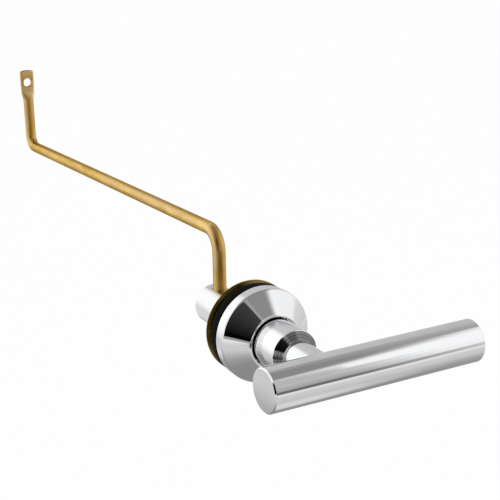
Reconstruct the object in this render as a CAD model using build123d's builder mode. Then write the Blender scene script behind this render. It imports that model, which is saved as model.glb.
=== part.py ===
from build123d import *
import os
from math import radians, sqrt, tan

# A front-fixed cistern lever: a bar handle on a turned stem, a cone escutcheon with a threaded shank that
# is clamped through the cistern wall, and a cranked rod arm inside the cistern that lifts the flush chain.
# Millimetres. The stem turns about Y, with the handle at -Y, the inside of the cistern at +Y and +Z up.
# The origin is on the stem's axis, at the escutcheon's back face.

# Handle bar
BAR_DIAMETER = 15.4
BAR_LENGTH = 84.0
BAR_SHORT_END = 24.2
BAR_STANDOFF = 45.4
BAR_END_BEVEL = 0.5

# Stem: tenon in the bar, neck, hub and spindle
TENON_DIAMETER = 7.0
TENON_LENGTH = 7.0
NECK_DIAMETER = 11.8
HUB_DIAMETER = 17.6
HUB_FRONT = 27.0
HUB_TAPER = 2.4
SPINDLE_DIAMETER = 10.0
SPINDLE_TAIL = 6.0

# Escutcheon and its shank
RIM_DIAMETER = 35.0
RIM_WIDTH = 4.5
ESCUTCHEON_HEIGHT = 11.8
LIP_LAND = 0.5
COUNTERBORE_DEPTH = 5.6
ESCUTCHEON_WALL = 2.0
ESCUTCHEON_EDGE_RADIUS = 0.3
SHANK_DIAMETER = 16.0
SHANK_LENGTH = 22.5
SHANK_WALL = 2.0
SHANK_END_BEVEL = 0.8

# Bearing bush in the shank
BUSH_FLANGE_THICKNESS = 1.0

# Gasket, washer and locknut on the shank
RIM_OVERHANG = 0.2
GASKET_THICKNESS = 5.4
GASKET_EDGE_RADIUS = 1.4
WASHER_THICKNESS = 3.4
WASHER_EDGE_RADIUS = 0.4
NUT_ACROSS_FLATS = 22.0
NUT_THICKNESS = 5.0
NUT_BEVEL_ANGLE = 30.0

# Sleeve and set screw that hold the arm in the spindle
SLEEVE_DIAMETER = 15.4
SLEEVE_EDGE_RADIUS = 0.4
SCREW_DIAMETER = 5.0
SCREW_LENGTH = 3.0
SCREW_TIP_BEVEL = 0.6
SCREW_SOCKET_ACROSS_FLATS = 2.5
SCREW_SOCKET_DEPTH = 1.7

# Rod arm with a flattened, pierced end
ROD_DIAMETER = 5.0
ROD_TAIL_RECESS = 0.9
ROD_TAIL_BEVEL = 0.4
ARM_SETBACK = 7.5
ARM_RISE = 29.7
ARM_REACH = 210.0
ARM_DROOP_ANGLE = 1.8
ARM_END_RISE = 38.9
NEAR_BEND_RADIUS = 7.5
FAR_BEND_RADIUS = 6.0
TAB_LENGTH = 10.4
TAB_TRANSITION = 4.6
TAB_ROOT_WIDTH = 6.3
TAB_TOP_WIDTH = 6.6
TAB_THICKNESS = 2.4
TAB_CROWN = 0.5
TAB_EDGE_RADIUS = 0.7
EYE_DIAMETER = 4.4
EYE_BELOW_TOP = 6.1

# Clearances, each measured on the radius or along the axis
HUB_CLEARANCE = 0.5
JOURNAL_CLEARANCE = 0.05
THRUST_CLEARANCE = 0.1
WASHER_CLEARANCE = 0.3
THREAD_CLEARANCE = 0.05
ROD_CLEARANCE = 0.05
SCREW_CLEARANCE = 0.05

# Sizes that follow from the ones above
bar_radius = BAR_DIAMETER / 2
neck_radius = NECK_DIAMETER / 2
hub_radius = HUB_DIAMETER / 2
spindle_radius = SPINDLE_DIAMETER / 2
tenon_tip = -BAR_STANDOFF + bar_radius - TENON_LENGTH
rim_radius = RIM_DIAMETER / 2
disc_radius = rim_radius - RIM_OVERHANG
shank_radius = SHANK_DIAMETER / 2
bush_radius = shank_radius - SHANK_WALL
hub_bore_radius = hub_radius + HUB_CLEARANCE
lip_radius = hub_bore_radius + LIP_LAND
counterbore_floor = COUNTERBORE_DEPTH - ESCUTCHEON_HEIGHT
bush_front = counterbore_floor - BUSH_FLANGE_THICKNESS
hub_back = bush_front - THRUST_CLEARANCE
sleeve_radius = SLEEVE_DIAMETER / 2
sleeve_front = SHANK_LENGTH + THRUST_CLEARANCE
arm_position = sleeve_front + ARM_SETBACK
spindle_end = arm_position + SPINDLE_TAIL
rod_radius = ROD_DIAMETER / 2
rod_hole_radius = rod_radius + ROD_CLEARANCE
rod_tail = ROD_TAIL_RECESS - sleeve_radius
screw_tip = arm_position + rod_radius + SCREW_CLEARANCE
arm_end = arm_position + ARM_REACH
far_corner = ARM_RISE - ARM_REACH * tan(radians(ARM_DROOP_ANGLE))
tab_top = far_corner + ARM_END_RISE
tab_root = tab_top - TAB_LENGTH
rod_top = tab_root - TAB_TRANSITION

# Planes that several pieces share
bar_end = Plane(origin=(-BAR_SHORT_END, -BAR_STANDOFF, 0), x_dir=(0, 1, 0), z_dir=(1, 0, 0))
stem_plane = Plane(origin=(0, 0, 0), x_dir=(1, 0, 0), z_dir=(0, 1, 0))
tenon_plane = stem_plane.offset(tenon_tip)
arm_plane = Plane(origin=(0, arm_position, 0))

os.makedirs("parts", exist_ok=True)

# Handle bar: a round bar with bevelled ends, bored from behind for the stem's tenon
with BuildPart() as lever_bar:
    with BuildSketch(bar_end):
        Circle(bar_radius)
    extrude(amount=BAR_LENGTH)
    chamfer(lever_bar.edges().filter_by(GeomType.CIRCLE), BAR_END_BEVEL)
    with BuildSketch(tenon_plane):
        Circle(TENON_DIAMETER / 2)
    extrude(amount=TENON_LENGTH + bar_radius, mode=Mode.SUBTRACT)

lever_bar.part.label = "lever_bar"
export_step(lever_bar.part, "parts/lever_bar.step")

# Stem: neck, hub and spindle turned from one bar, saddled to the handle and cross-bored for the rod
with BuildPart() as lever_stem:
    with BuildSketch(Plane.XY):
        with BuildLine():
            Polyline(
                (0, -BAR_STANDOFF),
                (neck_radius, -BAR_STANDOFF),
                (neck_radius, -HUB_FRONT),
                (hub_radius, HUB_TAPER - HUB_FRONT),
                (hub_radius, hub_back),
                (spindle_radius, hub_back),
                (spindle_radius, spindle_end),
                (0, spindle_end),
                close=True,
            )
        make_face()
    revolve(axis=Axis.Y)
    with BuildSketch(bar_end):
        Circle(bar_radius)
    extrude(amount=BAR_LENGTH, mode=Mode.SUBTRACT)
    with BuildSketch(tenon_plane):
        Circle(TENON_DIAMETER / 2)
    extrude(amount=-HUB_FRONT - tenon_tip)
    with BuildSketch(arm_plane):
        Circle(rod_hole_radius)
    extrude(amount=spindle_radius, both=True, mode=Mode.SUBTRACT)
    with BuildSketch(stem_plane.offset(arm_position)):
        Circle(SCREW_DIAMETER / 2)
    extrude(amount=spindle_end - arm_position, mode=Mode.SUBTRACT)

lever_stem.part.label = "lever_stem"
export_step(lever_stem.part, "parts/lever_stem.step")

# Escutcheon: a cone cover, hollow behind, with a counterbored boss that runs on into the threaded shank
cone_slope = (ESCUTCHEON_HEIGHT - RIM_WIDTH) / (rim_radius - lip_radius)
cone_wall = ESCUTCHEON_WALL * sqrt(1 + cone_slope**2)
boss_radius = hub_bore_radius + ESCUTCHEON_WALL
cavity_radius = rim_radius - ESCUTCHEON_WALL
cavity_rim_depth = cone_wall - RIM_WIDTH - (rim_radius - cavity_radius) * cone_slope
cavity_boss_depth = cone_wall - RIM_WIDTH - (rim_radius - boss_radius) * cone_slope

with BuildPart() as escutcheon:
    with BuildSketch(Plane.XY) as section:
        with BuildLine():
            Polyline(
                (bush_radius, counterbore_floor),
                (hub_bore_radius, counterbore_floor),
                (hub_bore_radius, -ESCUTCHEON_HEIGHT),
                (lip_radius, -ESCUTCHEON_HEIGHT),
                (rim_radius, -RIM_WIDTH),
                (rim_radius, 0),
                (cavity_radius, 0),
                (cavity_radius, cavity_rim_depth),
                (boss_radius, cavity_boss_depth),
                (boss_radius, 0),
                (shank_radius, 0),
                (shank_radius, SHANK_LENGTH - SHANK_END_BEVEL),
                (shank_radius - SHANK_END_BEVEL, SHANK_LENGTH),
                (bush_radius, SHANK_LENGTH),
                close=True,
            )
        make_face()
        outside = section.vertices().filter_by_position(Axis.Y, -ESCUTCHEON_HEIGHT, 0)
        rim_corners = outside.group_by(Axis.X)[-1]
        lip_corner = outside.group_by(Axis.Y)[0].sort_by(Axis.X)[-1]
        fillet([*rim_corners, lip_corner], ESCUTCHEON_EDGE_RADIUS)
    revolve(axis=Axis.Y)

escutcheon.part.label = "escutcheon"
export_step(escutcheon.part, "parts/escutcheon.step")

# Bearing bush: a flanged liner pressed into the shank, which the spindle turns in and the hub bears on
with BuildPart() as bearing_bush:
    with BuildSketch(Plane.XY):
        with BuildLine():
            Polyline(
                (spindle_radius + JOURNAL_CLEARANCE, bush_front),
                (hub_radius, bush_front),
                (hub_radius, counterbore_floor),
                (bush_radius, counterbore_floor),
                (bush_radius, SHANK_LENGTH),
                (spindle_radius + JOURNAL_CLEARANCE, SHANK_LENGTH),
                close=True,
            )
        make_face()
    revolve(axis=Axis.Y)

bearing_bush.part.label = "bearing_bush"
export_step(bearing_bush.part, "parts/bearing_bush.step")

# Gasket: a moulded ring with rounded edges that seals the escutcheon to the cistern wall
with BuildPart() as wall_gasket:
    with BuildSketch(stem_plane):
        Circle(disc_radius)
        Circle(shank_radius, mode=Mode.SUBTRACT)
    extrude(amount=GASKET_THICKNESS)
    rims = wall_gasket.edges().filter_by(GeomType.CIRCLE).sort_by(SortBy.RADIUS)[-2:]
    fillet(rims, GASKET_EDGE_RADIUS)

wall_gasket.part.label = "wall_gasket"
export_step(wall_gasket.part, "parts/wall_gasket.step")

# Clamp washer: a thick turned disc between the gasket and the locknut
with BuildPart() as clamp_washer:
    with BuildSketch(stem_plane.offset(GASKET_THICKNESS)):
        Circle(disc_radius)
        Circle(shank_radius + WASHER_CLEARANCE, mode=Mode.SUBTRACT)
    extrude(amount=WASHER_THICKNESS)
    rims = clamp_washer.edges().filter_by(GeomType.CIRCLE).sort_by(SortBy.RADIUS)[-2:]
    fillet(rims, WASHER_EDGE_RADIUS)

clamp_washer.part.label = "clamp_washer"
export_step(clamp_washer.part, "parts/clamp_washer.step")

# Locknut: a thin hexagon nut on the shank, with its corners bevelled on both faces
nut_front = GASKET_THICKNESS + WASHER_THICKNESS
nut_back = nut_front + NUT_THICKNESS
nut_face_radius = NUT_ACROSS_FLATS / 2
nut_corner_radius = nut_face_radius / sqrt(0.75)
nut_bevel = (nut_corner_radius - nut_face_radius) * tan(radians(NUT_BEVEL_ANGLE))

with BuildPart() as locknut:
    with BuildSketch(stem_plane.offset(nut_front)):
        RegularPolygon(nut_face_radius, 6, major_radius=False)
        Circle(shank_radius + THREAD_CLEARANCE, mode=Mode.SUBTRACT)
    extrude(amount=NUT_THICKNESS)
    with BuildSketch(Plane.XY):
        with BuildLine():
            Polyline(
                (0, nut_front),
                (nut_face_radius, nut_front),
                (nut_corner_radius, nut_front + nut_bevel),
                (nut_corner_radius, nut_back - nut_bevel),
                (nut_face_radius, nut_back),
                (0, nut_back),
                close=True,
            )
        make_face()
    revolve(axis=Axis.Y, mode=Mode.INTERSECT)

locknut.part.label = "locknut"
export_step(locknut.part, "parts/locknut.step")

# Sleeve: a turned, chromed collar on the spindle's end, held there by the rod that passes through both
with BuildPart() as arm_sleeve:
    with BuildSketch(stem_plane.offset(sleeve_front)):
        Circle(sleeve_radius)
        Circle(spindle_radius, mode=Mode.SUBTRACT)
    extrude(amount=spindle_end - sleeve_front)
    rims = arm_sleeve.edges().filter_by(GeomType.CIRCLE).sort_by(SortBy.RADIUS)[-2:]
    fillet(rims, SLEEVE_EDGE_RADIUS)
    with BuildSketch(arm_plane):
        Circle(rod_hole_radius)
    extrude(amount=sleeve_radius, both=True, mode=Mode.SUBTRACT)

arm_sleeve.part.label = "arm_sleeve"
export_step(arm_sleeve.part, "parts/arm_sleeve.step")

# Set screw: a headless socket screw in the spindle's end that clamps the rod
with BuildPart() as set_screw:
    with BuildSketch(stem_plane.offset(screw_tip)):
        Circle(SCREW_DIAMETER / 2)
    extrude(amount=SCREW_LENGTH)
    chamfer(set_screw.edges().group_by(Axis.Y)[0], SCREW_TIP_BEVEL)
    with BuildSketch(stem_plane.offset(screw_tip + SCREW_LENGTH)):
        RegularPolygon(SCREW_SOCKET_ACROSS_FLATS / 2, 6, major_radius=False)
    extrude(amount=-SCREW_SOCKET_DEPTH, mode=Mode.SUBTRACT)

set_screw.part.label = "set_screw"
export_step(set_screw.part, "parts/set_screw.step")

# Arm: a rod cranked twice in the plane of the stem's axis, its far end pressed flat and pierced
tab_plane = Plane(origin=(0, arm_end, tab_top), x_dir=(1, 0, 0), z_dir=(0, -1, 0))
with BuildPart() as trip_arm:
    with BuildLine(Plane.YZ) as centreline:
        FilletPolyline(
            (arm_position, rod_tail),
            (arm_position, ARM_RISE),
            (arm_end, far_corner),
            (arm_end, rod_top),
            radius=[NEAR_BEND_RADIUS, FAR_BEND_RADIUS],
        )
    with BuildSketch(arm_plane.offset(rod_tail)):
        Circle(rod_radius)
    sweep(path=centreline.line)
    chamfer(trip_arm.edges().sort_by(Axis.Z)[0], ROD_TAIL_BEVEL)
    with BuildSketch(Plane(origin=(0, arm_end, rod_top))):
        Circle(rod_radius)
    with BuildSketch(Plane(origin=(0, arm_end, tab_root))):
        RectangleRounded(TAB_ROOT_WIDTH, TAB_THICKNESS, TAB_EDGE_RADIUS)
    loft()
    with BuildSketch(Plane(origin=(0, arm_end, tab_root))):
        RectangleRounded(TAB_ROOT_WIDTH, TAB_THICKNESS, TAB_EDGE_RADIUS)
    with BuildSketch(Plane(origin=(0, arm_end, tab_top))):
        RectangleRounded(TAB_TOP_WIDTH, TAB_THICKNESS, TAB_EDGE_RADIUS)
    loft()
    with BuildSketch(tab_plane):
        with BuildLine():
            crown = ThreePointArc((-TAB_TOP_WIDTH / 2, -TAB_CROWN), (0, 0), (TAB_TOP_WIDTH / 2, -TAB_CROWN))
            Polyline(crown @ 1, (TAB_TOP_WIDTH / 2, TAB_CROWN), (-TAB_TOP_WIDTH / 2, TAB_CROWN), crown @ 0)
        make_face()
    extrude(amount=TAB_THICKNESS, both=True, mode=Mode.SUBTRACT)
    with BuildSketch(tab_plane):
        with Locations((0, -EYE_BELOW_TOP)):
            Circle(EYE_DIAMETER / 2)
    extrude(amount=TAB_THICKNESS, both=True, mode=Mode.SUBTRACT)

trip_arm.part.label = "trip_arm"
export_step(trip_arm.part, "parts/trip_arm.step")
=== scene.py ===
from math import acos, atan2, cos, hypot, pi, radians, sin, sqrt, tan

import bmesh
import bpy
from mathutils import Matrix, Vector
from mathutils.kdtree import KDTree


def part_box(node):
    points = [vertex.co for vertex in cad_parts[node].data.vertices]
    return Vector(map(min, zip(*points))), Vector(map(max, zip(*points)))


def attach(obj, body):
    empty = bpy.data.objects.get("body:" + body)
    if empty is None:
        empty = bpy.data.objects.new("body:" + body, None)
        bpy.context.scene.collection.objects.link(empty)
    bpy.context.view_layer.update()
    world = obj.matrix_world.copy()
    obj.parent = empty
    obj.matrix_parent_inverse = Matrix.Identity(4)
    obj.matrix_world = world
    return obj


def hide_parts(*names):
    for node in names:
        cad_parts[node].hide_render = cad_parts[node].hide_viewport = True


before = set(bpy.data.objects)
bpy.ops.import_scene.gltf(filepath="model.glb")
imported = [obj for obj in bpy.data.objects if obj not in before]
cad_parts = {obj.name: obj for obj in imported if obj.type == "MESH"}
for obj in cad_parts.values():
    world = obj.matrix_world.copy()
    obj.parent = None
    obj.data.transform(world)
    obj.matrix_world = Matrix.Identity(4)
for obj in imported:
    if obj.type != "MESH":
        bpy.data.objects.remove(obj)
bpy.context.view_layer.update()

# Escutcheon: a cone cover with a rounded lip and rim, turned from brass in one with its shank, polished and
# chromed. The shank passes through the cistern wall and has a left-hand thread for the locknut, where the
# plating is thin and dull.
MM = 0.001
low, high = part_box("escutcheon")
rim_radius = high.x
cover_front = low.y
shank_end = high.y
RIM_WIDTH = 4.5 * MM
LIP_RADIUS = 9.8 * MM
HUB_BORE_RADIUS = 9.3 * MM
COUNTERBORE_FLOOR = -6.2 * MM
BUSH_BORE_RADIUS = 6 * MM
CAVITY_RADIUS = 15.5 * MM
CAVITY_RIM_DEPTH = -3.64 * MM
BOSS_RADIUS = 11.3 * MM
CAVITY_BOSS_DEPTH = -7.62 * MM
SHANK_RADIUS = 8 * MM
SHANK_END_BEVEL = 0.8 * MM
THREAD_PITCH = 1.5 * MM
THREAD_DEPTH = 0.85 * MM
THREAD_START = 1.2 * MM
THREAD_CREST_SHARE = 0.2
THREAD_FLANK_SHARE = 0.6
THREAD_ROWS = 190
RIM_ROUND = 1.2 * MM
EDGE_ROUND = 0.3 * MM
FINE_ROUND = 0.15 * MM
LIP_INNER_ROUND = 0.32 * MM
NOSE_RADIUS = 2.0 * MM
NOSE_STEPS = 12
COVER_SIDES = 168
CLEAN_CHROME = (0.87, 0.875, 0.885, 1)
HAZED_CHROME = (0.83, 0.835, 0.845, 1)
THIN_PLATING = (0.50, 0.47, 0.40, 1)


def rounded(corners, closed=True, arc_steps=6, guard=1.5):
    """The points of an outline of (radius, along, rounding) corners, with an arc at each rounded corner.

    A guard point stands on each side of an arc, this many times the arc's reach from the corner, and keeps
    the flats flat.
    """
    points = []
    for number, (radius, along, rounding) in enumerate(corners):
        corner = Vector((radius, along))
        at_end = not closed and number in (0, len(corners) - 1)
        if rounding == 0 or at_end:
            points.append(corner)
            continue
        to_last = (Vector(corners[number - 1][:2]) - corner).normalized()
        to_next = (Vector(corners[(number + 1) % len(corners)][:2]) - corner).normalized()
        half_angle = acos(to_last.dot(to_next)) / 2
        reach = rounding / tan(half_angle)
        centre = corner + (to_last + to_next).normalized() * rounding / sin(half_angle)
        first = corner + to_last * reach - centre
        last = corner + to_next * reach - centre
        points.append(corner + to_last * reach * guard)
        for step in range(arc_steps + 1):
            points.append(centre + first.slerp(last, step / arc_steps) * rounding)
        points.append(corner + to_next * reach * guard)
    return points


def turned(outline, closed=True, around=192):
    """Vertices and faces of an outline of (radius, along) points turned about the stem's axis."""
    vertices = []
    rings = []
    for radius, along in outline:
        if radius == 0:
            rings.append([len(vertices)] * around)
            vertices.append(Vector((0, along, 0)))
            continue
        rings.append(range(len(vertices), len(vertices) + around))
        for step in range(around):
            angle = 2 * pi * step / around
            vertices.append(Vector((radius * sin(angle), along, radius * cos(angle))))
    pairs = list(zip(rings, rings[1:]))
    if closed:
        pairs.append((rings[-1], rings[0]))
    faces = []
    for one, other in pairs:
        for step in range(around):
            after = (step + 1) % around
            corners = (one[step], one[after], other[after], other[step])
            faces.append(tuple(dict.fromkeys(corners)))
    return vertices, faces


def mesh_piece(name, vertices, faces, sharp_angle=40):
    """A smooth-shaded object of these vertices and faces, with its normals outward."""
    mesh = bpy.data.meshes.new(name)
    mesh.from_pydata(vertices, [], faces)
    draft = bmesh.new()
    draft.from_mesh(mesh)
    bmesh.ops.recalc_face_normals(draft, faces=draft.faces)
    draft.to_mesh(mesh)
    draft.free()
    mesh.shade_smooth()
    mesh.set_sharp_from_angle(angle=radians(sharp_angle))
    piece = bpy.data.objects.new(name, mesh)
    bpy.context.scene.collection.objects.link(piece)
    return piece


nose_turn = atan2(-RIM_WIDTH - cover_front, rim_radius - LIP_RADIUS)
nose_inset = NOSE_RADIUS * tan(nose_turn / 2)
nose_centre = Vector((LIP_RADIUS - nose_inset, cover_front + NOSE_RADIUS))
lip_front = nose_centre.y - sqrt(NOSE_RADIUS**2 - (HUB_BORE_RADIUS - nose_centre.x) ** 2)
nose = []
for step in range(NOSE_STEPS + 1):
    angle = nose_turn * step / NOSE_STEPS
    radius = nose_centre.x + NOSE_RADIUS * sin(angle)
    if radius > HUB_BORE_RADIUS + 2 * LIP_INNER_ROUND:
        nose.append((radius, nose_centre.y - NOSE_RADIUS * cos(angle), 0))
shank_rows = []
for row in range(THREAD_ROWS + 1):
    shank_rows.append((SHANK_RADIUS, shank_end * row / THREAD_ROWS, 0))
cover_outline = rounded(
    [
        (BUSH_BORE_RADIUS, COUNTERBORE_FLOOR, 0),
        (HUB_BORE_RADIUS, COUNTERBORE_FLOOR, FINE_ROUND),
        (HUB_BORE_RADIUS, lip_front, LIP_INNER_ROUND),
        *nose,
        (rim_radius, -RIM_WIDTH, RIM_ROUND),
        (rim_radius, 0, EDGE_ROUND),
        (CAVITY_RADIUS, 0, FINE_ROUND),
        (CAVITY_RADIUS, CAVITY_RIM_DEPTH, EDGE_ROUND),
        (BOSS_RADIUS, CAVITY_BOSS_DEPTH, EDGE_ROUND),
        (BOSS_RADIUS, 0, FINE_ROUND),
        *shank_rows,
        (BUSH_BORE_RADIUS, shank_end, FINE_ROUND),
    ]
)
vertices, faces = turned(cover_outline, around=COVER_SIDES)
for vertex in vertices:
    radius = hypot(vertex.x, vertex.z)
    if vertex.y < THREAD_START or abs(radius - SHANK_RADIUS) > EDGE_ROUND:
        continue
    turn = Vector((vertex.z, vertex.x)).angle_signed(Vector((1, 0))) / (2 * pi)
    from_crest = abs((vertex.y / THREAD_PITCH + turn) % 1 - 0.5) * 2
    cut = min(max((from_crest - THREAD_CREST_SHARE) / THREAD_FLANK_SHARE, 0), 1)
    run_in = min((vertex.y - THREAD_START) / THREAD_PITCH, 1)
    bevelled = min(SHANK_RADIUS, SHANK_RADIUS + shank_end - SHANK_END_BEVEL - vertex.y)
    wanted = min(SHANK_RADIUS - THREAD_DEPTH * cut * run_in, bevelled)
    vertex.x *= wanted / radius
    vertex.z *= wanted / radius
cover = mesh_piece("escutcheon_cover", vertices, faces)


class Wire:
    """A shader socket, so that maths on a surface is written as an expression."""

    def __init__(self, tree, socket=None):
        self.tree = tree
        self.socket = socket

    def node(self, kind, settings, inputs, output=0):
        """Adds a node, gives it its settings and then its sockets, and returns one of its outputs."""
        made = self.tree.nodes.new(kind)
        for name, value in settings.items():
            setattr(made, name, value)
        for name, value in inputs.items():
            if isinstance(value, Wire):
                self.tree.links.new(value.socket, made.inputs[name])
            else:
                made.inputs[name].default_value = value
        return Wire(self.tree, made.outputs[output])

    def maths(self, operation, first, second):
        return self.node("ShaderNodeMath", {"operation": operation}, {0: first, 1: second})

    def __add__(self, other):
        return self.maths("ADD", self, other)

    def __radd__(self, other):
        return self.maths("ADD", other, self)

    def __sub__(self, other):
        return self.maths("SUBTRACT", self, other)

    def __rsub__(self, other):
        return self.maths("SUBTRACT", other, self)

    def __mul__(self, other):
        return self.maths("MULTIPLY", self, other)

    def __rmul__(self, other):
        return self.maths("MULTIPLY", other, self)

    def __truediv__(self, other):
        return self.maths("DIVIDE", self, other)

    def __rtruediv__(self, other):
        return self.maths("DIVIDE", other, self)

    def __pow__(self, other):
        return self.maths("POWER", self, other)

    def __rpow__(self, other):
        return self.maths("POWER", other, self)


def new_finish(name, constants):
    """A material with these constant sockets, and a wire to start its nodes from."""
    material = bpy.data.materials.new(name)
    material.use_nodes = True
    shader = material.node_tree.nodes["Principled BSDF"]
    for socket, value in constants.items():
        shader.inputs[socket].default_value = value
    return material, Wire(material.node_tree)


def feed(material, wires):
    """Links wires to the sockets of the material's shader."""
    shader = material.node_tree.nodes["Principled BSDF"]
    for socket, wire in wires.items():
        material.node_tree.links.new(wire.socket, shader.inputs[socket])


def place_on_piece(start):
    """The place on the piece, in millimetres."""
    metres = start.node("ShaderNodeTexCoord", {}, {}, "Object")
    return start.node("ShaderNodeVectorMath", {"operation": "SCALE"}, {0: metres, "Scale": 1 / MM})


def axis_of(place, axis):
    """How far a place lies along one axis."""
    return place.node("ShaderNodeSeparateXYZ", {}, {0: place}, axis)


def stretched(place, factors):
    """The place with each of its directions multiplied, for marks that run one way."""
    return place.node("ShaderNodeVectorMath", {"operation": "MULTIPLY"}, {0: place, 1: factors})


def length_of(vector):
    """How long a vector is."""
    return vector.node("ShaderNodeVectorMath", {"operation": "LENGTH"}, {0: vector}, "Value")


def cloud(place, scale, detail=2.0):
    """Soft noise from 0 to 1, with this many features a millimetre."""
    sockets = {"Vector": place, "Scale": scale, "Detail": detail}
    return place.node("ShaderNodeTexNoise", {"normalize": True}, sockets)


def step_up(wire, start, end):
    """0 below start and 1 above end, with a smooth step between."""
    sockets = {"Value": wire, "From Min": start, "From Max": end}
    return wire.node("ShaderNodeMapRange", {"interpolation_type": "SMOOTHSTEP"}, sockets)


def tint(factor, one, other):
    """One colour where factor is 0, and the other where it is 1.

    A Mix node's sockets 6 and 7 are its colours, and its output 2 is their mix.
    """
    return factor.node("ShaderNodeMix", {"data_type": "RGBA"}, {0: factor, 6: one, 7: other}, 2)


def relief(height, depth):
    """A normal from a height of 0 to 1 that stands this many metres deep."""
    return height.node("ShaderNodeBump", {}, {"Height": height, "Distance": depth, "Strength": 1.0}, "Normal")


def rings(place):
    """A place that changes only with the radius and along the stem, for the marks of a lathe."""
    radius = length_of(stretched(place, (1, 0, 1)))
    return place.node("ShaderNodeCombineXYZ", {}, {"X": radius, "Y": axis_of(place, "Y")})


def chrome(name, marks_of, polish=0.025, patch_of=None):
    """Chrome plate with faint haze and the last fine marks of the polishing wheel.

    Where the plate differs, or where it is painted dark, patch_of gives that patch, its colour and how much
    rougher it is.
    """
    material, start = new_finish(name, {"Metallic": 1.0})
    place = place_on_piece(start)
    haze = step_up(cloud(place, scale=0.09, detail=3.0), start=0.3, end=0.75)
    marks = cloud(marks_of(place), scale=5.0, detail=3.0)
    colour = tint(haze, CLEAN_CHROME, HAZED_CHROME)
    roughness = polish + haze * 0.03 + marks * 0.03
    if patch_of:
        patch, patch_colour, rougher = patch_of(place)
        colour = tint(patch, colour, patch_colour)
        roughness = roughness + patch * rougher
    normal = relief(marks, depth=0.0004 * MM)
    feed(material, {"Base Color": colour, "Roughness": roughness, "Normal": normal})
    return material


def shank_plating(place):
    """Thin, uneven plating on all that lies behind the rim."""
    behind_rim = step_up(axis_of(place, "Y"), start=0.4, end=1.6)
    uneven = cloud(rings(place), scale=3.0, detail=4.0)
    return behind_rim * (0.6 + uneven * 0.4), THIN_PLATING, 0.35


cover.data.materials.append(chrome("polished_chrome_cover", rings, patch_of=shank_plating))
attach(cover, "base")
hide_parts("escutcheon")

# Bearing bush: a flanged liner of white nylon, moulded and pressed into the shank from the front. Only its
# back end shows, round the spindle.
NYLON_WHITE = (0.80, 0.79, 0.75, 1)
NYLON_SHADED = (0.74, 0.73, 0.68, 1)
nylon, start = new_finish("bush_nylon", {"Specular IOR Level": 0.4})
place = place_on_piece(start)
flow = cloud(stretched(place, (0.5, 0.15, 0.5)), scale=0.4, detail=3.0)
grain = cloud(place, scale=9.0)
feed(
    nylon,
    {
        "Base Color": tint(step_up(flow, start=0.3, end=0.75), NYLON_WHITE, NYLON_SHADED),
        "Roughness": 0.36 + flow * 0.1 + grain * 0.06,
        "Normal": relief(grain, depth=0.006 * MM),
    },
)
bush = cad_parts["bearing_bush"]
bush.data.materials.clear()
bush.data.materials.append(nylon)

# Lever stem: the neck, the hub and the spindle, turned from one brass bar, polished and chromed. The neck is
# saddled to the handle bar, the cone at the hub's front keeps two turned grooves and is painted dark for the
# dark reflection it shows, and the spindle is cross-bored for the arm and bored for its set screw.
low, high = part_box("lever_stem")
hub_radius = high.x
spindle_end = high.y
bar_low, bar_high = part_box("lever_bar")
bar_radius = (bar_high.y - bar_low.y) / 2
bar_axis_y = (bar_low.y + bar_high.y) / 2
arm_low, arm_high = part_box("trip_arm")
ROD_RADIUS = 2.5 * MM
arm_near_y = arm_low.y + ROD_RADIUS
NECK_RADIUS = 5.9 * MM
NECK_ROOT_ROUND = 0.25 * MM
SADDLE_REACH = 1.1
HUB_FRONT = -27 * MM
HUB_BACK = -7.3 * MM
HUB_TAPER = 2.4 * MM
GROOVE_WIDTH = 0.2 * MM
GROOVE_DEPTH = 0.11 * MM
GROOVE_SHARES = (0.3, 0.55)
SPINDLE_RADIUS = 5 * MM
SCREW_HOLE_RADIUS = 2.5 * MM
ROD_HOLE_RADIUS = 2.55 * MM
DRILL_SIDES = 64
RING_FADE = 0.1 * MM
# The ring's dark colour is a painted reflection of dark surroundings, not a darker metal.
RING_PAINTED_DARK = (0.2, 0.2, 0.205, 1)

taper_start = Vector((NECK_RADIUS, HUB_FRONT))
taper_end = Vector((hub_radius, HUB_FRONT + HUB_TAPER))
taper_way = (taper_end - taper_start).normalized()
into_hub = Vector((-taper_way.y, taper_way.x))
grooves = []
for share in GROOVE_SHARES:
    middle = taper_start.lerp(taper_end, share)
    grooves.append((*(middle - taper_way * GROOVE_WIDTH / 2), 0))
    grooves.append((*(middle + into_hub * GROOVE_DEPTH), 0))
    grooves.append((*(middle + taper_way * GROOVE_WIDTH / 2), 0))
stem_outline = rounded(
    [
        (0, bar_axis_y, 0),
        (NECK_RADIUS, bar_axis_y, 0),
        (NECK_RADIUS, bar_axis_y + bar_radius * SADDLE_REACH, 0),
        (NECK_RADIUS, HUB_FRONT, NECK_ROOT_ROUND),
        *grooves,
        (hub_radius, HUB_FRONT + HUB_TAPER, FINE_ROUND),
        (hub_radius, HUB_BACK, EDGE_ROUND),
        (SPINDLE_RADIUS, HUB_BACK, 0),
        (SPINDLE_RADIUS, spindle_end, EDGE_ROUND),
        (SCREW_HOLE_RADIUS, spindle_end, FINE_ROUND),
        (SCREW_HOLE_RADIUS, arm_near_y, 0),
        (0, arm_near_y, 0),
    ],
    closed=False,
)
vertices, faces = turned(stem_outline, closed=False)
for vertex in vertices:
    if abs(vertex.z) < bar_radius:
        saddle = bar_axis_y + sqrt(bar_radius**2 - vertex.z**2)
        vertex.y = max(vertex.y, saddle)
stem = mesh_piece("lever_stem_turning", vertices, faces)


def cut_out(piece, cutter):
    """Cuts one closed piece out of another, and removes the cutter."""
    saw = piece.modifiers.new("cut", "BOOLEAN")
    saw.operation = "DIFFERENCE"
    saw.solver = "EXACT"
    saw.object = cutter
    view = bpy.context.evaluated_depsgraph_get()
    cut_mesh = bpy.data.meshes.new_from_object(piece.evaluated_get(view))
    piece.modifiers.clear()
    piece.data = cut_mesh
    bpy.data.objects.remove(cutter)


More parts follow.
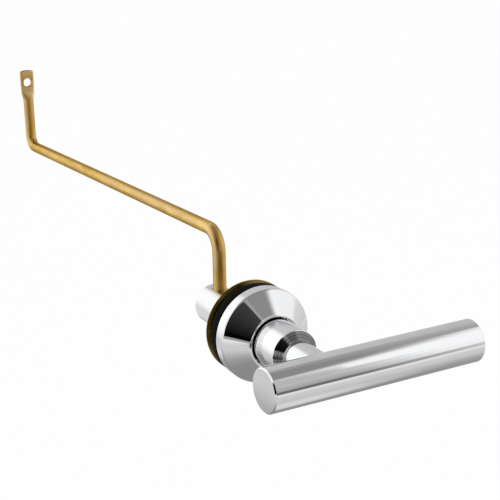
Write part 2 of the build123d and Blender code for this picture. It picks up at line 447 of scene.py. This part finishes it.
def rod_drill():
    """A drill for the hole across the spindle and the sleeve that the arm stands in."""
    drill_outline = [
        (0, -hub_radius),
        (ROD_HOLE_RADIUS, -hub_radius),
        (ROD_HOLE_RADIUS, hub_radius),
        (0, hub_radius),
    ]
    vertices, faces = turned(drill_outline, closed=False, around=DRILL_SIDES)
    for vertex in vertices:
        vertex.yz = vertex.z + arm_near_y, vertex.y
    return mesh_piece("rod_drill", vertices, faces)


def ring_painted_reflection(place):
    """The cone at the hub's front, painted dark for the dark reflection it shows."""
    along = axis_of(place, "Y")
    front = HUB_FRONT / MM
    back = (HUB_FRONT + HUB_TAPER) / MM
    fade = RING_FADE / MM
    past_front = step_up(along, start=front - fade / 2, end=front + fade / 2)
    past_back = step_up(along, start=back - 2 * fade, end=back - fade)
    return past_front * (1 - past_back), RING_PAINTED_DARK, 0.02


cut_out(stem, rod_drill())
stem.data.materials.append(chrome("polished_chrome_stem", rings, patch_of=ring_painted_reflection))
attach(stem, "lever")
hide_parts("lever_stem")

# Lever bar: the handle, a round brass bar with slightly domed ends and small bevels, polished along its
# length and chromed. It is bored from behind for the stem's tenon, which is soldered in.
BAR_BEVEL = 0.5 * MM
BEVEL_ROUND = 0.12 * MM
END_DOME = 0.3 * MM
DOME_STEPS = 8
BAR_SIDES = 256
end_radius = bar_radius - BAR_BEVEL
near_end = []
far_end = []
for step in range(DOME_STEPS):
    share = step / DOME_STEPS
    near_end.append((end_radius * share, bar_low.x + END_DOME * share**2, 0))
    far_end.insert(0, (end_radius * share, bar_high.x - END_DOME * share**2, 0))
bar_outline = rounded(
    [
        *near_end,
        (end_radius, bar_low.x + END_DOME, BEVEL_ROUND),
        (bar_radius, bar_low.x + END_DOME + BAR_BEVEL, BEVEL_ROUND),
        (bar_radius, bar_high.x - END_DOME - BAR_BEVEL, BEVEL_ROUND),
        (end_radius, bar_high.x - END_DOME, BEVEL_ROUND),
        *far_end,
    ],
    closed=False,
)
vertices, faces = turned(bar_outline, closed=False, around=BAR_SIDES)
for vertex in vertices:
    vertex.xyz = vertex.y, bar_axis_y - vertex.x, vertex.z
bar = mesh_piece("lever_bar_handle", vertices, faces)


def lengthwise(place):
    """A place that changes slowly along the bar, for polishing marks that run that way."""
    return stretched(place, (0.02, 1, 1))


bar.data.materials.append(chrome("polished_chrome_bar", lengthwise))
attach(bar, "lever")
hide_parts("lever_bar")

# Wall gasket: a thick ring of black rubber with rounded edges, moulded, that seals the escutcheon to the
# cistern's front wall. A thin parting line of the mould runs round its edge.
low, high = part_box("wall_gasket")
gasket_radius = high.x
gasket_back = high.y
GASKET_ROUND = 1.4 * MM
GASKET_ARC_STEPS = 8
FLASH_HEIGHT = 0.06 * MM
FLASH_WIDTH = 0.25 * MM
RUBBER_BLACK = (0.0006, 0.0006, 0.0005, 1)
RUBBER_BLOOM = (0.0035, 0.0035, 0.003, 1)
gasket_middle = gasket_back / 2
gasket_outline = rounded(
    [
        (SHANK_RADIUS, 0, FINE_ROUND),
        (gasket_radius, 0, GASKET_ROUND),
        (gasket_radius - FLASH_HEIGHT, gasket_middle - FLASH_WIDTH, 0),
        (gasket_radius, gasket_middle, 0),
        (gasket_radius - FLASH_HEIGHT, gasket_middle + FLASH_WIDTH, 0),
        (gasket_radius, gasket_back, GASKET_ROUND),
        (SHANK_RADIUS, gasket_back, FINE_ROUND),
    ],
    arc_steps=GASKET_ARC_STEPS,
)
gasket = mesh_piece("wall_gasket_ring", *turned(gasket_outline))
rubber, start = new_finish("moulded_rubber", {"Specular IOR Level": 0.03})
place = place_on_piece(start)
bloom = step_up(cloud(place, scale=0.35, detail=4.0), start=0.35, end=0.8)
grain = cloud(place, scale=4.0, detail=4.0)
feed(
    rubber,
    {
        "Base Color": tint(bloom, RUBBER_BLACK, RUBBER_BLOOM),
        "Roughness": 0.4 + bloom * 0.14 + grain * 0.1,
        "Normal": relief(grain, depth=0.03 * MM),
    },
)
gasket.data.materials.append(rubber)
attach(gasket, "base")
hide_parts("wall_gasket")

# Clamp washer: a thick round disc of brass, turned and left bare, with painted shade darkening its upper left
# side, where it mirrors the black flag. It presses the cistern's wall to the gasket.
low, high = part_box("clamp_washer")
washer_radius = high.x
WASHER_BORE_RADIUS = 8.3 * MM
WASHER_ROUND = 1.2 * MM
DARK_SIDE_CORE_SHARE = 0.6
washer_outline = rounded(
    [
        (WASHER_BORE_RADIUS, low.y, FINE_ROUND),
        (washer_radius, low.y, WASHER_ROUND),
        (washer_radius, high.y, WASHER_ROUND),
        (WASHER_BORE_RADIUS, high.y, FINE_ROUND),
    ]
)
washer = mesh_piece("clamp_washer_disc", *turned(washer_outline))


def distance_from(place, centre):
    """How far a place is from this point, in millimetres."""
    return length_of(place.node("ShaderNodeVectorMath", {"operation": "SUBTRACT"}, {0: place, 1: centre}))


def bare_brass(name, bright, dark, edge, polish, dark_side_centre, dark_side_reach):
    """Bare brass: a lathe's marks and patches of tarnish, darker and duller round one place, which on the
    washer is painted shade.
    """
    material, start = new_finish(name, {"Metallic": 1.0, "Specular Tint": edge})
    place = place_on_piece(start)
    marks = cloud(rings(place), scale=3.0, detail=4.0)
    from_dark_side = distance_from(place, dark_side_centre)
    dark_side = 1 - step_up(from_dark_side, start=dark_side_reach * DARK_SIDE_CORE_SHARE, end=dark_side_reach)
    patches = cloud(place, scale=0.16, detail=5.0)
    tarnish_and_shade = step_up(patches * 0.6 + marks * 0.2 + dark_side * 0.5, start=0.35, end=0.95)
    feed(
        material,
        {
            "Base Color": tint(tarnish_and_shade, bright, dark),
            "Roughness": polish + marks * 0.14 + tarnish_and_shade * 0.12,
            "Normal": relief(marks, depth=0.008 * MM),
        },
    )
    return material


# The washer's darker upper left side is painted shade, where it mirrors the black flag.
washer.data.materials.append(
    bare_brass(
        "turned_brass_washer",
        bright=(0.31, 0.235, 0.07, 1),
        dark=(0.03, 0.018, 0.003, 1),
        edge=(0.8, 0.66, 0.36, 1),
        polish=0.16,
        dark_side_centre=(-14.3, 7, 9.7),
        dark_side_reach=18.0,
    )
)
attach(washer, "washer")
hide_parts("clamp_washer")

# Locknut: a thin hexagon nut of brass with its corners bevelled on both faces, milled from bar and bored
# and tapped left-handed for the shank. It holds the washer.
low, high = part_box("locknut")
nut_flat = high.z
nut_corner = nut_flat / cos(pi / 6)
NUT_FACE_SHARE = 0.99
NUT_BEVEL_ANGLE = radians(30)
NUT_BORE_RADIUS = 8.05 * MM
NUT_COUNTERSINK = 0.6 * MM
NUT_EDGE_ROUND = 0.12 * MM
NUT_COLUMNS = 96
NUT_SHARP_ANGLE = 20
face_radius = nut_flat * NUT_FACE_SHARE
vertices = []
for column in range(NUT_COLUMNS):
    angle = 2 * pi * column / NUT_COLUMNS
    from_flat = (angle + pi / 6) % (pi / 3) - pi / 6
    edge = min(nut_flat / cos(from_flat), nut_corner - NUT_EDGE_ROUND)
    drop = (edge - face_radius) * tan(NUT_BEVEL_ANGLE)
    outline = [
        (NUT_BORE_RADIUS, low.y + NUT_COUNTERSINK),
        (NUT_BORE_RADIUS + NUT_COUNTERSINK, low.y),
        (face_radius, low.y),
        (edge, low.y + drop),
        (edge, high.y - drop),
        (face_radius, high.y),
        (NUT_BORE_RADIUS + NUT_COUNTERSINK, high.y),
        (NUT_BORE_RADIUS, high.y - NUT_COUNTERSINK),
    ]
    for radius, along in outline:
        vertices.append(Vector((radius * sin(angle), along, radius * cos(angle))))
faces = []
rows = len(outline)
for column in range(NUT_COLUMNS):
    after = (column + 1) % NUT_COLUMNS
    for row in range(rows):
        below = (row + 1) % rows
        faces.append((column * rows + row, column * rows + below, after * rows + below, after * rows + row))
nut = mesh_piece("locknut_hexagon", vertices, faces, sharp_angle=NUT_SHARP_ANGLE)
nut.data.materials.append(
    bare_brass(
        "milled_brass_nut",
        bright=(0.62, 0.42, 0.13, 1),
        dark=(0.36, 0.24, 0.06, 1),
        edge=(0.5, 0.35, 0.1, 1),
        polish=0.22,
        dark_side_centre=(4, 12, -11),
        dark_side_reach=16.0,
    )
)
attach(nut, "nut")
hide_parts("locknut")

# Arm sleeve: a collar of brass on the spindle's end, turned and chromed to a satin finish, with a hole across
# it for the arm. The arm holds it there, and it keeps the spindle from sliding out.
low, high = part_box("arm_sleeve")
sleeve_radius = high.x
SLEEVE_ROUND = 0.4 * MM
SATIN = 0.22
sleeve_outline = rounded(
    [
        (SPINDLE_RADIUS, low.y, FINE_ROUND),
        (sleeve_radius, low.y, SLEEVE_ROUND),
        (sleeve_radius, high.y, SLEEVE_ROUND),
        (SPINDLE_RADIUS, high.y, FINE_ROUND),
    ]
)
sleeve = mesh_piece("arm_sleeve_collar", *turned(sleeve_outline))
cut_out(sleeve, rod_drill())
sleeve.data.materials.append(chrome("satin_chrome_sleeve", rings, polish=SATIN))
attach(sleeve, "lever")
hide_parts("arm_sleeve")

# Trip arm: a drawn brass rod, cranked twice and left bare, with a painted brown reflection down the front of
# its short legs and painted brown shade at the root of the tab. Its near end stands in the spindle, and its
# far end is pressed flat and pierced for the flush valve's chain.
arm_far_y = arm_high.y - ROD_RADIUS
tab_top = arm_high.z
rod_tail = arm_low.z
NEAR_RISE = 29.7 * MM
DROOP_ANGLE = radians(1.8)
NEAR_BEND = 7.5 * MM
FAR_BEND = 6 * MM
TAIL_BEVEL = 0.4 * MM
TAB_LENGTH = 10.4 * MM
TAB_PRESS_LENGTH = 4.6 * MM
TAB_ROOT_HALF_WIDTH = 3.15 * MM
TAB_TOP_HALF_WIDTH = 3.29 * MM
TAB_HALF_THICKNESS = 1.2 * MM
TAB_CROWN = 0.5 * MM
TAB_CORNER_POWER = 8
TAB_EDGE_ROUND = 0.35 * MM
EYE_RADIUS = 2.2 * MM
EYE_BELOW_TOP = 6.1 * MM
EYE_RIM_ROUND = 0.2 * MM
ROD_SIDES = 64
BEND_STEPS = 24
LONG_LEG_STEPS = 40
PRESS_STEPS = 12
TAB_STEPS = 16
EDGE_STEPS = 4
ARM_SHARP_ANGLE = 35
YELLOW_BRASS = (0.91, 0.69, 0.29, 1)
PINK_BRASS = (0.80, 0.58, 0.33, 1)
AGED_BRASS = (0.72, 0.52, 0.22, 1)
DIE_MARK_BROWN = (0.50, 0.32, 0.10, 1)
PAINTED_SHADE_BROWN = (0.52, 0.27, 0.03, 1)
BRASS_EDGE = (0.5, 0.34, 0.14, 1)
REFLECTION_STRIPE_ANGLE = radians(-16)
PAINTED_SHADE_FADE = 5.0 * MM
far_rise = NEAR_RISE - (arm_far_y - arm_near_y) * tan(DROOP_ANGLE)
tab_root = tab_top - TAB_LENGTH
rod_top = tab_root - TAB_PRESS_LENGTH


def bend(corner, before, after, radius):
    """Centre points and directions round one bend of the rod, from the leg before to the leg after."""
    turn = before.angle(after)
    reach = radius * tan(turn / 2)
    start = corner - before * reach
    inward = (after - before * before.dot(after)).normalized()
    for step in range(BEND_STEPS + 1):
        angle = turn * step / BEND_STEPS
        yield (
            start + before * radius * sin(angle) + inward * radius * (1 - cos(angle)),
            before * cos(angle) + inward * sin(angle),
        )


upward = Vector((0, 0, 1))
outward = Vector((0, cos(DROOP_ANGLE), -sin(DROOP_ANGLE)))
near_corner = Vector((0, arm_near_y, NEAR_RISE))
far_corner = Vector((0, arm_far_y, far_rise))
near_bend = list(bend(near_corner, upward, outward, NEAR_BEND))
far_bend = list(bend(far_corner, outward, upward, FAR_BEND))
long_leg = []
for step in range(1, LONG_LEG_STEPS):
    point = near_bend[-1][0].lerp(far_bend[0][0], step / LONG_LEG_STEPS)
    long_leg.append((point, outward))
stations = [
    (Vector((0, arm_near_y, rod_tail)), upward, ROD_RADIUS - TAIL_BEVEL),
    (Vector((0, arm_near_y, rod_tail + TAIL_BEVEL)), upward, ROD_RADIUS),
]
for point, direction in [*near_bend, *long_leg, *far_bend]:
    stations.append((point, direction, ROD_RADIUS))
tab_rises = []
for step in range(PRESS_STEPS + 1):
    tab_rises.append(rod_top + TAB_PRESS_LENGTH * step / PRESS_STEPS)
for step in range(1, TAB_STEPS + 1):
    tab_rises.append(tab_root + (TAB_LENGTH - TAB_EDGE_ROUND) * step / TAB_STEPS)
for step in range(1, EDGE_STEPS + 1):
    tab_rises.append(tab_top - TAB_EDGE_ROUND * (1 - sin(pi / 2 * step / EDGE_STEPS)))
for rise in tab_rises:
    stations.append((Vector((0, arm_far_y, rise)), upward, ROD_RADIUS))


def rod_section(rise, on_tab, radius, angle):
    """Sideways and thickness of the rod's outline at an angle, round on the rod and oblong on the tab."""
    if not on_tab:
        return radius * cos(angle), radius * sin(angle)
    pressed = min((rise - rod_top) / TAB_PRESS_LENGTH, 1)
    pressed = pressed * pressed * (3 - 2 * pressed)
    up_tab = max((rise - tab_root) / TAB_LENGTH, 0)
    wide = TAB_ROOT_HALF_WIDTH + (TAB_TOP_HALF_WIDTH - TAB_ROOT_HALF_WIDTH) * up_tab
    half_width = ROD_RADIUS + (wide - ROD_RADIUS) * pressed
    half_thickness = ROD_RADIUS + (TAB_HALF_THICKNESS - ROD_RADIUS) * pressed
    above = max(rise - tab_top + TAB_EDGE_ROUND, 0)
    inset = TAB_EDGE_ROUND - sqrt(max(TAB_EDGE_ROUND**2 - above**2, 0))
    power = 2 / (2 + (TAB_CORNER_POWER - 2) * pressed)
    across = abs(cos(angle)) ** power * (half_width - inset)
    through = abs(sin(angle)) ** power * (half_thickness - inset)
    return across if cos(angle) >= 0 else -across, through if sin(angle) >= 0 else -through


sideways = Vector((1, 0, 0))
vertices = []
unbent = []
travelled = 0.0
last_point = stations[0][0]
for point, direction, radius in stations:
    travelled += (point - last_point).length
    last_point = point
    on_tab = point.y > arm_far_y - ROD_RADIUS / 2 and point.z > rod_top
    thickness_way = direction.cross(sideways)
    for side in range(ROD_SIDES):
        angle = 2 * pi * side / ROD_SIDES
        across, through = rod_section(point.z, on_tab, radius, angle)
        crown = TAB_CROWN * (across / TAB_TOP_HALF_WIDTH) ** 2 if on_tab else 0
        crown *= max((point.z - tab_root) / TAB_LENGTH, 0)
        vertices.append(point + sideways * across + thickness_way * through - upward * crown)
        unbent.append(Vector((across, through, travelled)))
faces = [tuple(range(ROD_SIDES)), tuple(range(len(vertices) - ROD_SIDES, len(vertices)))]
for ring in range(len(stations) - 1):
    for side in range(ROD_SIDES):
        after = (side + 1) % ROD_SIDES
        faces.append(
            (
                ring * ROD_SIDES + side,
                ring * ROD_SIDES + after,
                (ring + 1) * ROD_SIDES + after,
                (ring + 1) * ROD_SIDES + side,
            )
        )
arm = mesh_piece("trip_arm_rod", vertices, faces, sharp_angle=ARM_SHARP_ANGLE)
on_rod = KDTree(len(vertices))
for number, vertex in enumerate(vertices):
    on_rod.insert(vertex, number)
on_rod.balance()

eye_outline = [
    (0, -3 * TAB_HALF_THICKNESS),
    (EYE_RADIUS + 2 * TAB_HALF_THICKNESS, -3 * TAB_HALF_THICKNESS),
    (EYE_RADIUS + EYE_RIM_ROUND, -TAB_HALF_THICKNESS),
    (EYE_RADIUS, EYE_RIM_ROUND - TAB_HALF_THICKNESS),
    (EYE_RADIUS, TAB_HALF_THICKNESS - EYE_RIM_ROUND),
    (EYE_RADIUS + EYE_RIM_ROUND, TAB_HALF_THICKNESS),
    (EYE_RADIUS + 2 * TAB_HALF_THICKNESS, 3 * TAB_HALF_THICKNESS),
    (0, 3 * TAB_HALF_THICKNESS),
]
vertices, faces = turned(eye_outline, closed=False, around=DRILL_SIDES)
eye_centre = Vector((0, arm_far_y, tab_top - EYE_BELOW_TOP))
for vertex in vertices:
    vertex += eye_centre
cut_out(arm, mesh_piece("chain_eye", vertices, faces))
arm.data.set_sharp_from_angle(angle=radians(ARM_SHARP_ANGLE))
straight = arm.data.attributes.new("unbent_place", "FLOAT_VECTOR", "POINT")
for vertex in arm.data.vertices:
    rod_place, number = on_rod.find(vertex.co)[:2]
    straight.data[vertex.index].vector = (unbent[number] + vertex.co - rod_place) / MM

near_leg_end = (NEAR_RISE - rod_tail) / MM
far_leg_start = near_leg_end + (arm_far_y - arm_near_y) / MM
tab_start = far_leg_start + (rod_top - far_rise) / MM
rod_half = ROD_RADIUS / MM
fade = PAINTED_SHADE_FADE / MM
drawn_brass, start = new_finish("drawn_brass_arm", {"Metallic": 1.0, "Specular Tint": BRASS_EDGE})
along_rod = start.node("ShaderNodeAttribute", {"attribute_name": "unbent_place"}, {}, "Vector")
die_marks = cloud(stretched(along_rod, (1, 1, 0.03)), scale=2.4, detail=3.0)
blotches = step_up(cloud(stretched(along_rod, (1, 1, 0.35)), scale=0.28, detail=4.0), start=0.38, end=0.72)
handled = cloud(along_rod, scale=1.6, detail=4.0)
hue = step_up(cloud(stretched(along_rod, (0.5, 0.5, 0.12)), scale=0.5, detail=3.0), start=0.35, end=0.65)
colour = tint(hue, YELLOW_BRASS, PINK_BRASS)
colour = tint(blotches, colour, AGED_BRASS)
colour = tint(step_up(die_marks, start=0.5, end=0.8) * 0.5, colour, DIE_MARK_BROWN)
travel = axis_of(along_rod, "Z")
# The brown stripe down the front of the short legs is a painted dark reflection, and the brown band where the
# rod is pressed flat is painted shade.
facing = axis_of(along_rod, "X") * sin(REFLECTION_STRIPE_ANGLE) - axis_of(along_rod, "Y") * cos(REFLECTION_STRIPE_ANGLE)
on_front = step_up(facing, start=rod_half * 0.5, end=rod_half * 0.92)
on_near_leg = 1 - step_up(travel, start=near_leg_end - fade, end=near_leg_end + fade)
on_far_leg = step_up(travel, start=far_leg_start - 2 * fade, end=far_leg_start - fade)
past_tab_start = step_up(travel, start=tab_start - fade / 2, end=tab_start + fade / 2)
past_tab_root = step_up(travel, start=tab_start + fade, end=tab_start + 2 * fade)
leg_painted_reflection = on_front * (on_near_leg + on_far_leg) * (0.7 + blotches * 0.2)
tab_painted_shade = past_tab_start * (1 - past_tab_root) * 0.5
tarnish_and_shade = start.maths("MAXIMUM", leg_painted_reflection, tab_painted_shade)
feed(
    drawn_brass,
    {
        "Base Color": tint(tarnish_and_shade, colour, PAINTED_SHADE_BROWN),
        "Roughness": 0.18 + die_marks * 0.12 + handled * 0.08 + tarnish_and_shade * 0.12,
        "Normal": relief(die_marks + handled * 0.2, depth=0.004 * MM),
    },
)
arm.data.materials.append(drawn_brass)
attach(arm, "arm")
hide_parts("trip_arm")

# Set screw: a headless socket screw of stainless steel in the spindle's end, which clamps the arm. Its
# hexagon socket faces into the cistern.
STEEL_DARK = (0.50, 0.50, 0.51, 1)
STEEL_LIGHT = (0.62, 0.62, 0.62, 1)
steel, start = new_finish("stainless_steel_screw", {"Metallic": 1.0})
marks = cloud(rings(place_on_piece(start)), scale=6.0, detail=3.0)
feed(
    steel,
    {
        "Base Color": tint(marks, STEEL_DARK, STEEL_LIGHT),
        "Roughness": 0.24 + marks * 0.16,
        "Normal": relief(marks, depth=0.006 * MM),
    },
)
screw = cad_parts["set_screw"]
screw.data.materials.clear()
screw.data.materials.append(steel)

# Floor: a wide white sweep of paper, well below the lever, which floats above it as in a cut-out picture.
# It shows white to the camera and in the chrome, and keeps a part of the shadow.
FLOOR_DROP = 0.3
FLOOR_HALF_SIZE = 20.0
PAPER_WHITE = (0.92, 0.92, 0.92, 1)
WHITE = (1, 1, 1, 1)
WHITE_SHARE = 0.96
SQUARE = ((-1, -1), (1, -1), (1, 1), (-1, 1))


def level_sheet(name, half_size, height):
    """A level square sheet at this height."""
    corners = []
    for x, y in SQUARE:
        corners.append(Vector((x * half_size, y * half_size, height)))
    return mesh_piece(name, corners, [range(len(corners))])


def seen_directly(start):
    """1 for rays from the camera and from mirror-like and clear surfaces, and 0 for the rest."""
    camera = start.node("ShaderNodeLightPath", {}, {}, "Is Camera Ray")
    glossy = start.node("ShaderNodeLightPath", {}, {}, "Is Glossy Ray")
    clear = start.node("ShaderNodeLightPath", {}, {}, "Is Transmission Ray")
    return start.maths("MINIMUM", camera + glossy + clear, 1.0)


floor = level_sheet("paper_floor", FLOOR_HALF_SIZE, -FLOOR_DROP)
paper, start = new_finish("white_paper", {"Base Color": PAPER_WHITE, "Roughness": 0.9})
lit_paper = Wire(paper.node_tree, paper.node_tree.nodes["Principled BSDF"].outputs[0])
glow = start.node("ShaderNodeEmission", {}, {"Color": WHITE, "Strength": 1.0})
mixed = start.node("ShaderNodeMixShader", {}, {0: seen_directly(start) * WHITE_SHARE, 1: lit_paper, 2: glow})
paper_output = paper.node_tree.nodes["Material Output"]
paper.node_tree.links.new(mixed.socket, paper_output.inputs["Surface"])
floor.data.materials.append(paper)

# Studio cards: soft-edged panels, a grey ceiling and a grey table round the lever that only the metal sees,
# as a product photographer sets them; the table has the lever's shadow painted on it. Each panel is placed by
# its azimuth from the front and its height above the horizon, in degrees.
CARD_DISTANCE = 1.2
SHEET_HALF_SIZE = 4.0
TABLE_DROP = 0.28
# The table's dark middle is a painted shadow of the lever.
TABLE_PAINTED_SHADOW_CENTRE = (0, 110, -TABLE_DROP / MM)
CEILING_RISE = 1.6
CEILING_DARK_CENTRE = (0, -180, CEILING_RISE / MM)
BLACK = (0, 0, 0, 1)


def show_in_metal(card, material, glow):
    """Gives a card its glow and hides it from all but mirror-like rays."""
    output = material.node_tree.nodes["Material Output"]
    material.node_tree.links.new(glow.socket, output.inputs["Surface"])
    card.data.materials.append(material)
    card.visible_camera = False
    card.visible_diffuse = False
    card.visible_transmission = False
    card.visible_shadow = False


def card_glow(level, strength=1.0):
    """A grey glow of this level."""
    return level.node("ShaderNodeEmission", {}, {"Color": tint(level, BLACK, WHITE), "Strength": strength})


def table_level_with_painted_shadow(place):
    """Dark grey under the lever, a painted shadow of it, and lighter further out in two steps."""
    distance = distance_from(place, TABLE_PAINTED_SHADOW_CENTRE)
    mid = step_up(distance, start=170.0, end=620.0)
    far = step_up(distance, start=700.0, end=1400.0)
    return 0.285 + mid * 0.39 + far * 0.2


def ceiling_level(place):
    """Dark grey overhead, and white towards the walls."""
    return 0.28 + step_up(distance_from(place, CEILING_DARK_CENTRE), start=950.0, end=1370.0) * 0.72


def grey_sheet(name, height, level_of):
    """A wide level sheet whose grey changes with the place."""
    material, start = new_finish(name, {})
    glow = card_glow(level_of(place_on_piece(start)))
    show_in_metal(level_sheet(name, SHEET_HALF_SIZE, height), material, glow)


def way_out(azimuth, elevation):
    """The way out at an azimuth from the front and a height above the horizon, and the level way across."""
    azimuth = radians(azimuth)
    elevation = radians(elevation)
    outward = Vector((sin(azimuth) * cos(elevation), -cos(azimuth) * cos(elevation), sin(elevation)))
    return outward, Vector((cos(azimuth), sin(azimuth), 0))


def studio_card(
    name,
    at,
    spread,
    level,
    sideways=0.0,
    upward=0.0,
    strength=1.0,
    soft=(0.25, 0.25),
    fade=1.0,
    away=CARD_DISTANCE,
):
    """A card at this azimuth and height, spread so many degrees across and up.

    Its level changes by sideways across it and by upward up it. soft gives its margins as shares of its half
    sizes, which round off its corners, and fade gives the outer share of them over which its edge fades.
    """
    outward, across = way_out(*at)
    rise = outward.cross(across)
    half_width = away * tan(radians(spread[0] / 2))
    half_height = away * tan(radians(spread[1] / 2))
    corners = []
    card_places = []
    for x, z in SQUARE:
        corners.append(outward * away + across * half_width * x + rise * half_height * z)
        card_places.append((x, z, level + sideways * x / 2 + upward * z / 2))
    card = mesh_piece(name, corners, [range(len(corners))])
    on_card = card.data.attributes.new("card_place", "FLOAT_VECTOR", "POINT")
    for number, card_place in enumerate(card_places):
        on_card.data[number].vector = card_place

    material, start = new_finish(name, {})
    card_place = start.node("ShaderNodeAttribute", {"attribute_name": "card_place"}, {}, "Vector")
    past_margin = []
    for axis, margin in zip("XY", soft):
        from_middle = start.maths("ABSOLUTE", axis_of(card_place, axis), 0)
        past_margin.append(start.maths("MAXIMUM", (from_middle - (1 - margin)) / margin, 0))
    across_margin, up_margin = past_margin
    to_edge = (across_margin**2 + up_margin**2) ** 0.5
    shown = 1 - step_up(to_edge, start=1 - fade, end=1.0)
    glow = card_glow(axis_of(card_place, "Z"), strength)
    clear = start.node("ShaderNodeBsdfTransparent", {}, {})
    show_in_metal(card, material, start.node("ShaderNodeMixShader", {}, {0: shown, 1: clear, 2: glow}))


grey_sheet("grey_table", -TABLE_DROP, table_level_with_painted_shadow)
grey_sheet("grey_ceiling", CEILING_RISE, ceiling_level)
studio_card("black_flag", (-48, 25.2), (44, 62.4), 0.024, upward=0.06, soft=(0.3, 0.22), fade=0.14)
studio_card("flag_border", (-48, 25.2), (52, 75), 0.37, soft=(0.3, 0.22), fade=0.25, away=1.3)
studio_card("front_card", (-13, 13), (28, 62), 0.27, soft=(0.3, 0.3))
studio_card("grey_low", (19, 17), (36, 34), 0.5, upward=0.25, soft=(0.45, 0.35))
studio_card("grey_high", (20, 39), (44, 34), 0.53, soft=(0.5, 0.35))
studio_card("white_box", (50, 27), (30, 44), 1.0, strength=1.07, soft=(0.5, 0.3))
studio_card("grey_side", (147, 24), (84, 72), 0.58, sideways=0.3, soft=(0.5, 0.25))
studio_card("grey_corner", (108, 52), (34, 18), 0.4, upward=-0.2, soft=(0.4, 0.4))
studio_card("right_haze", (104, -4), (40, 44), 0.72, upward=0.2, soft=(0.5, 0.7))
studio_card("dark_strip", (26, -2.5), (38, 15), 0.16, soft=(0.95, 0.45))
studio_card("dark_room", (-17, -17), (80, 15), 0.11, soft=(0.3, 0.3), away=0.7)
studio_card("back_box", (-153, 17), (66, 60), 1.0, strength=1.15, soft=(0.7, 0.6))
studio_card("near_back_card", (-163, -23), (38, 34), 0.78, soft=(0.6, 0.6), away=0.112)
studio_card("bounce_card", (23, -54), (62, 62), 0.77, upward=0.1, soft=(0.9, 0.9), away=0.14)

# Lamp and world: one broad soft lamp from above the camera for shape, and an even white sky for the rest.
# The sky is full white only where it is seen directly or in the metal.
SKY_LEVEL = 0.7
LAMP_POWER = 4.0
LAMP_SIZE = 0.6
LAMP_PLACE = Vector((-0.5, -0.5, 0.9))
world = bpy.data.worlds.new("white_studio")
world.use_nodes = True
bpy.context.scene.world = world
sky = world.node_tree.nodes["Background"]
sky.inputs["Color"].default_value = WHITE
strength = SKY_LEVEL + seen_directly(Wire(world.node_tree)) * (1 - SKY_LEVEL)
world.node_tree.links.new(strength.socket, sky.inputs["Strength"])
lamp_data = bpy.data.lights.new("soft_lamp", "AREA")
lamp_data.energy = LAMP_POWER
lamp_data.shape = "DISK"
lamp_data.size = LAMP_SIZE
lamp = bpy.data.objects.new("soft_lamp", lamp_data)
lamp_turn = LAMP_PLACE.to_track_quat("Z", "Y").to_matrix().to_4x4()
lamp.matrix_world = Matrix.Translation(LAMP_PLACE) @ lamp_turn
lamp.visible_glossy = False
bpy.context.scene.collection.objects.link(lamp)

# Camera: the photograph's view, from the front left and a little above. Its place was fitted to the edges of
# the bar, the rim, the sleeve and the arm.
LENS = 87.26
SENSOR = 36.0
CAMERA_AZIMUTH = -28.55
CAMERA_ELEVATION = 17.57
CAMERA_ROLL = radians(-1.07)
CAMERA_DISTANCE = 433.3 * MM
AIM_ACROSS = -3.35 * MM
AIM_UP = 29.32 * MM
CLIP_NEAR = 0.01
CLIP_FAR = 100.0
toward_camera, level = way_out(CAMERA_AZIMUTH, CAMERA_ELEVATION)
plumb = toward_camera.cross(level)
camera_right = level * cos(CAMERA_ROLL) + plumb * sin(CAMERA_ROLL)
camera_up = plumb * cos(CAMERA_ROLL) - level * sin(CAMERA_ROLL)
camera_data = bpy.data.cameras.new("photo_camera")
camera_data.lens = LENS
camera_data.sensor_width = SENSOR
camera_data.clip_start = CLIP_NEAR
camera_data.clip_end = CLIP_FAR
camera = bpy.data.objects.new("photo_camera", camera_data)
camera_turn = Matrix((camera_right, camera_up, toward_camera)).transposed().to_4x4()
camera_place = toward_camera * CAMERA_DISTANCE + camera_right * AIM_ACROSS + camera_up * AIM_UP
camera.matrix_world = Matrix.Translation(camera_place) @ camera_turn
bpy.context.scene.collection.objects.link(camera)
bpy.context.scene.camera = camera
bpy.context.scene.view_settings.view_transform = "Standard"
